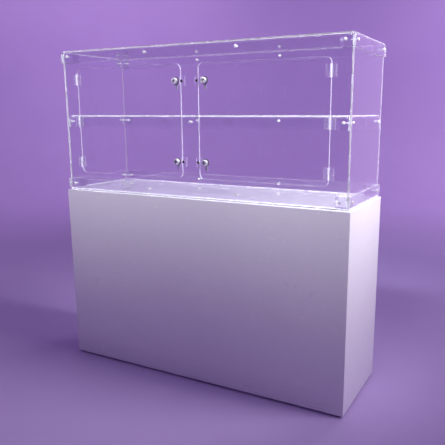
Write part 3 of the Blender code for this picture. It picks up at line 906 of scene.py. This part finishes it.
def make_hinges():
    """Three clear hinges to a door, each with a leaf on the frame, a leaf on the door and a pin."""
    for side, _ in SIDES:
        for level in ("lower", "middle", "upper"):
            hinge = f"{side}_{level}_hinge"
            for leaf, body in (("frame", "cabinet"), ("door", f"{side}_door")):
                made = refined_hinge_leaf(f"{hinge}_{leaf}_plate", f"{hinge}_{leaf}_leaf", HINGE_ARRIS)
                settle(made, body, "hinge_acrylic", f"{hinge}_{leaf}_leaf")
            low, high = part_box(f"{hinge}_pin")
            radius, tall = (high.x - low.x) / 2, high.z - low.z
            crown = radius * PIN_CROWN
            bm = turned([(0, tall), (radius - crown, tall), (radius, tall - crown), (radius, crown),
                         (radius - crown, 0), (0, 0)], SMALL_ROUND_STEPS)
            bm.transform(Matrix.Translation(((low.x + high.x) / 2, (low.y + high.y) / 2, low.z)))
            pin = piece_of(f"{hinge}_turned_pin", mesh_of("hinge_pin", bm), PIN_STEEL)
            settle(pin, "cabinet", "pin_steel", f"{hinge}_pin")


def fluted(radius, low, high):
    """A knob's grip: a drum about Z with shallow flutes and rounded ends, closed at both."""
    bm = bmesh.new()
    around = KNOB_FLUTES * 4
    crown = (high - low) * KNOB_CROWN
    rings = []
    for height, share in ((low, 0.90), (low + crown * 0.5, 0.98), (low + crown, 1.0),
                          (high - crown, 1.0), (high - crown * 0.4, 0.97), (high, 0.86)):
        ring = []
        for step in range(around):
            angle = 2 * math.pi * step / around
            wave = 0.5 - 0.5 * math.cos(KNOB_FLUTES * angle)
            dip = 1.0 - FLUTE_DEEP * wave * (share > FLUTED_FROM)
            reach = radius * share * dip
            ring.append(bm.verts.new((reach * math.cos(angle), reach * math.sin(angle), height)))
        rings.append(ring)
    for lower, upper in zip(rings, rings[1:]):
        for step in range(around):
            after = (step + 1) % around
            bm.faces.new((lower[step], lower[after], upper[after], upper[step]))
    bm.faces.new(reversed(rings[0]))
    bm.faces.new(rings[-1])
    return bm


def make_barrel(name, door, front, reach):
    """A lock's threaded barrel through the door, with its bezel in front."""
    grooves = []
    depth = -BARREL_PLAIN
    while depth > -reach + BARREL_PLAIN:
        grooves += [(BARREL_R, depth), (BARREL_R * BARREL_ROOT, depth - BARREL_PITCH / 2)]
        depth -= BARREL_PITCH
    bore = SPINDLE_R + CLEAR
    bezel = [(BEZEL_R * across, BEZEL_T * up) for across, up in BEZEL_OUTLINE]
    barrel = turned([(bore, BEZEL_T), *bezel, (BARREL_R, 0), *grooves, (BARREL_R * BARREL_TIP, -reach),
                     (bore, -reach), (bore, BEZEL_T)])
    barrel.transform(towards(OUTWARD, front))
    settle(piece_of(f"{name}_bezel", mesh_of("bezel", barrel), LOCK_CHROME), door, "lock_chrome",
           f"{name}_barrel")


def make_fastening(name, door, inner):
    """The rubber washer, whose black also paints the shade round the knob, and the six-sided nut that hold a
    lock from inside the door.
    """
    hole = BARREL_R + CLEAR
    washer = turned([(hole, 0), (WASHER_R, 0), (WASHER_R, -WASHER_T), (hole, -WASHER_T), (hole, 0)])
    washer.transform(towards(OUTWARD, inner))
    settle(piece_of(f"{name}_washer", mesh_of("washer", washer), WASHER_RUBBER_AND_SHADE_RING), door, "foot_plastic")
    nut = piece_of(f"{name}_nut", mesh_of("lock_nut", prism(LOCK_NUT_R, -LOCK_NUT_T, 0, 6)), LOCK_CHROME)
    softened(nut, LOCK_NUT_BEVEL)
    cut_by(nut, prism(hole, -LOCK_NUT_T * 2, LOCK_NUT_T, ROUND_STEPS))
    nut.data.transform(towards(OUTWARD, inner + Vector((0, WASHER_T + CLEAR, 0))))
    settle(nut, door, "lock_chrome")


def make_locks():
    """Two locks to a door, each with its keeper on the centre stile."""
    for side, x in SIDES:
        for level in LEVELS:
            name = f"{side}_{level}_lock"
            door = f"{side}_door"
            low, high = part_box(f"{name}_barrel")
            knob_low, knob_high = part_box(f"{name}_knob")
            axis = middle_of(f"{name}_barrel")
            front = Vector((axis.x, low.y + BEZEL_T, axis.z))
            make_barrel(name, door, front, high.y - front.y)
            make_fastening(name, door, front + Vector((0, SHEET + CLEAR * 2, 0)))
            make_lock_turn(name, axis, knob_low, knob_high)
            make_keeper(name, x, axis.z)


def make_lock_turn(name, axis, low, high):
    """What turns in a lock: the knob with its crossed slots, blacked as painted shade, its spindle and the
    cam behind the door.
    """
    grip = mesh_of("knob", fluted(KNOB_R, 0, KNOB_T))
    # the slots' cut faces take the black finish: painted shade in the recesses
    knob = piece_of(f"{name}_fluted_knob", grip, LOCK_CHROME, BLACK_BOLT_AND_SLOT_SHADE)
    for wide, long in ((KNOB_SLOT_W, KNOB_SLOT_L), (KNOB_SLOT_L, KNOB_SLOT_W)):
        groove = bmesh.new()
        bmesh.ops.create_cube(groove, size=1.0)
        bmesh.ops.scale(groove, vec=(wide, long, KNOB_SLOT_DEEP * 2), verts=groove.verts)
        bmesh.ops.translate(groove, vec=(0, 0, KNOB_T), verts=groove.verts)
        cut_by(knob, groove)
    knob.data.transform(towards(OUTWARD, (axis.x, low.y + KNOB_T, axis.z)))
    settle(knob, name, "lock_chrome", f"{name}_knob")
    spindle = prism(SPINDLE_R, 0, high.y - low.y - KNOB_T, ROUND_STEPS)
    spindle.transform(towards((0, 1, 0), (axis.x, low.y + KNOB_T, axis.z)))
    settle(piece_of(f"{name}_spindle", mesh_of("spindle", spindle), CAM_ZINC), name, "lock_chrome")
    half = CAM_W / 2
    outline = rounded_loop((-half, low.z - axis.z), (half, half + CAM_HEEL), half - CAM_ARRIS)
    bm = bmesh.new()
    bm.faces.new([bm.verts.new((u, 0, v)) for u, v in outline])
    bmesh.ops.translate(bm, vec=(axis.x, high.y - CAM_T / 2, axis.z), verts=bm.verts)
    cam = piece_of(f"{name}_cam", mesh_of("cam", bm), CAM_ZINC)
    wall = cam.modifiers.new("plate", "SOLIDIFY")
    wall.thickness = CAM_T
    wall.offset = 0.0
    softened(cam, CAM_ARRIS)
    settle(cam, name, "lock_chrome")


def make_keeper(name, x, height):
    """The clear block behind the centre stile, and the dark bolt that holds it there."""
    low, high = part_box(f"{name}_keeper")
    drill = prism(SHANK_R + DRILL_SLACK, -KEEPER_DRILL, KEEPER_DRILL, SMALL_ROUND_STEPS)
    drill.transform(towards(OUTWARD, (x * BOLT_X, (low.y + high.y) / 2, height)))
    solid_block(f"{name}_keeper_block", f"{name}_keeper", CLEAT_CLEAR, KEEPER_ARRIS, "cabinet",
                "clear_acrylic", [drill], RIM_PAINTED_GLOW)
    face = -PANEL_Y
    length = high.y - face - CLEAR
    head = [(BOLT_R * across, BOLT_HEAD_H * up) for across, up in BOLT_HEAD_OUTLINE]
    bolt = turned([(0, BOLT_HEAD_H), *head, (SHANK_R, 0), (SHANK_R, -length), (0, -length)],
                  SMALL_ROUND_STEPS)
    bolt.transform(towards(OUTWARD, (x * BOLT_X, face, height)))
    settle(piece_of(f"{name}_keeper_bolt", mesh_of("keeper_bolt", bolt), BLACK_BOLT_AND_SLOT_SHADE), "cabinet", "pin_steel")


# ---------------------------------------------------------------- the studio
PAPER_REACH = 7.0               # floor and walls: radius, size of the curve between them, height
PAPER_COVE = 2.0
PAPER_TALL = 6.0
PAPER_STEPS = 96
COVE_STEPS = 12
WASH_REACH = 4.4                # lamps over the paper that look outwards at its walls
WASH_HIGH = 3.4
WASH_AIM = 0.9
WASH_SIZE = (2.4, 0.6)
WASH_TINT = (0.92, 0.74, 0.96)
WASH_POWERS = (62.0, 70.0, 52.0, 11.0, 4.0, 5.0)
WASH_FIRST = 15                 # bearing of the first one and the angle between them, in degrees
WASH_APART = 60
AIR_TINT = (0.78, 0.68, 0.94)
AIR_GLOW = 0.26

# name, place, aim, width and height, power, colour, and how far its light fans out, in degrees
SOFT_BOXES = (
    ("key_box", (1.75, 0.15, 1.75), (0.5, 0.0, 1.0), (0.8, 0.8), 6.9, (1.0, 0.98, 0.99), 66.0),
    ("front_left_box", (-0.65, -2.0, 2.2), (-0.55, -0.2, 1.25), (0.9, 0.3), 2.95, (0.98, 0.97, 1.0), 44.0),
    ("front_right_box", (0.45, -2.0, 2.2), (0.55, -0.2, 1.25), (0.9, 0.3), 2.95, (0.98, 0.97, 1.0), 44.0),
    ("front_fill", (-1.4, -4.2, 2.4), (0.0, 0.0, 0.9), (1.8, 1.4), 1.0, (0.80, 0.68, 1.0), 180.0),
    ("rear_box", (1.56, 3.2, 1.0), (0.64, 0.0, 1.0), (0.7, 1.7), 1.15, (1.0, 0.86, 0.98), 180.0),
    ("back_box", (1.2, 3.4, 3.0), (0.0, 0.2, 0.5), (1.2, 0.8), 3.0, (0.98, 0.95, 1.0), 60.0),
)

CAMERA_PLACE = (1.1969, -2.0109, 1.1095)
CAMERA_TURN = (-0.4827, -0.2105, -0.0020)       # yaw, pitch and roll, in radians
CAMERA_LENS = 44.74
CAMERA_SHIFT = (-0.0539, 0.0184)
CAMERA_FAR = 50.0

CLEAR_BOUNCES = 96              # a ray can cross dozens of clear faces
SHADOW_BOUNCES = 48


def studio_floor():
    """One turned surface of lilac paper: a level floor that curves up into walls on every side."""
    bm = bmesh.new()
    flat = PAPER_REACH - PAPER_COVE
    profile = [(0.0, 0.0), (flat, 0.0)]
    for step in range(1, COVE_STEPS + 1):
        angle = math.pi / 2 * step / COVE_STEPS
        profile.append((flat + PAPER_COVE * math.sin(angle), PAPER_COVE * (1 - math.cos(angle))))
    profile.append((PAPER_REACH, PAPER_TALL))
    corners = [bm.verts.new((radius, 0, height)) for radius, height in profile]
    for near, far in zip(corners, corners[1:]):
        bm.edges.new((near, far))
    bmesh.ops.spin(bm, geom=bm.verts[:] + bm.edges[:], axis=(0, 0, 1), cent=(0, 0, 0), steps=PAPER_STEPS,
                   angle=2 * math.pi, use_duplicate=False)
    bmesh.ops.remove_doubles(bm, verts=bm.verts, dist=0.0001)
    bmesh.ops.recalc_face_normals(bm, faces=bm.faces)
    material, tree, shader, place = blank("lilac_paper")
    drift = placed(tree, CLOUDINESS, Place=place, Scale=1.2, Low=0.0, High=1.0).outputs["Level"]
    tree.links.new(tinted(tree, drift, (0.55, 0.41, 0.75), (0.53, 0.39, 0.73)), shader.inputs["Base Color"])
    tree.links.new(ramped(tree, drift, 0.0, 1.0, 0.75, 0.85), shader.inputs["Roughness"])
    piece_of("studio_paper", mesh_of("studio_paper", bm), material)


def area_lamp(name, place, aim, size, power, colour, spread):
    """A soft box; it lights and shines back from the object but is never seen itself, nor through a sheet.

    spread, in degrees, is how far a grid over the box lets its light fan out.
    """
    data = bpy.data.lights.new(name, "AREA")
    data.shape = "RECTANGLE"
    data.size, data.size_y = size
    data.energy = power
    data.color = colour
    data.spread = math.radians(spread)
    lamp = bpy.data.objects.new(name, data)
    lamp.location = place
    lamp.rotation_euler = (Vector(aim) - Vector(place)).to_track_quat("-Z", "Y").to_euler()
    lamp.visible_camera = False
    lamp.visible_transmission = False
    bpy.context.scene.collection.objects.link(lamp)


def studio_light():
    """The soft boxes round the object, the lamps that wash the walls and the light in the air."""
    for box in SOFT_BOXES:
        area_lamp(*box)
    for number, power in enumerate(WASH_POWERS):
        angle = math.radians(WASH_FIRST + WASH_APART * number)
        out = Vector((math.cos(angle), math.sin(angle), 0.0))
        area_lamp(f"wall_wash_{number + 1}", out * WASH_REACH + Vector((0, 0, WASH_HIGH)),
                  out * PAPER_REACH + Vector((0, 0, WASH_AIM)), WASH_SIZE, power, WASH_TINT, 180.0)
    world = bpy.data.worlds.new("studio_air")
    world.use_nodes = True
    air = world.node_tree.nodes["Background"]
    air.inputs["Color"].default_value = (*AIR_TINT, 1.0)
    air.inputs["Strength"].default_value = AIR_GLOW
    bpy.context.scene.world = world
    bpy.context.scene.view_settings.view_transform = "Standard"


def studio_camera():
    """The viewing place: to the right of the front and a little above the deck, looking slightly down."""
    yaw, pitch, roll = CAMERA_TURN
    x, y, z = CAMERA_PLACE
    forward = Vector((math.sin(yaw) * math.cos(pitch), math.cos(yaw) * math.cos(pitch), math.sin(pitch)))
    right = Vector((math.cos(yaw), -math.sin(yaw), 0.0))
    up = right.cross(forward)
    tilted = right * math.cos(roll) + up * math.sin(roll)
    raised = up * math.cos(roll) - right * math.sin(roll)
    data = bpy.data.cameras.new("viewer")
    data.lens = CAMERA_LENS
    data.shift_x, data.shift_y = CAMERA_SHIFT
    data.clip_end = CAMERA_FAR
    camera = bpy.data.objects.new("viewer", data)
    camera.matrix_world = Matrix((
        (tilted.x, raised.x, -forward.x, x),
        (tilted.y, raised.y, -forward.y, y),
        (tilted.z, raised.z, -forward.z, z),
        (0, 0, 0, 1),
    ))
    bpy.context.scene.collection.objects.link(camera)
    bpy.context.scene.camera = camera


studio_camera()
studio_floor()
studio_light()
finish_plinth()
make_sheets()
make_cleats()
make_screws()
make_doors()
make_hinges()
make_locks()
bpy.context.scene.cycles.max_bounces = CLEAR_BOUNCES
bpy.context.scene.cycles.transmission_bounces = CLEAR_BOUNCES
bpy.context.scene.cycles.transparent_max_bounces = SHADOW_BOUNCES
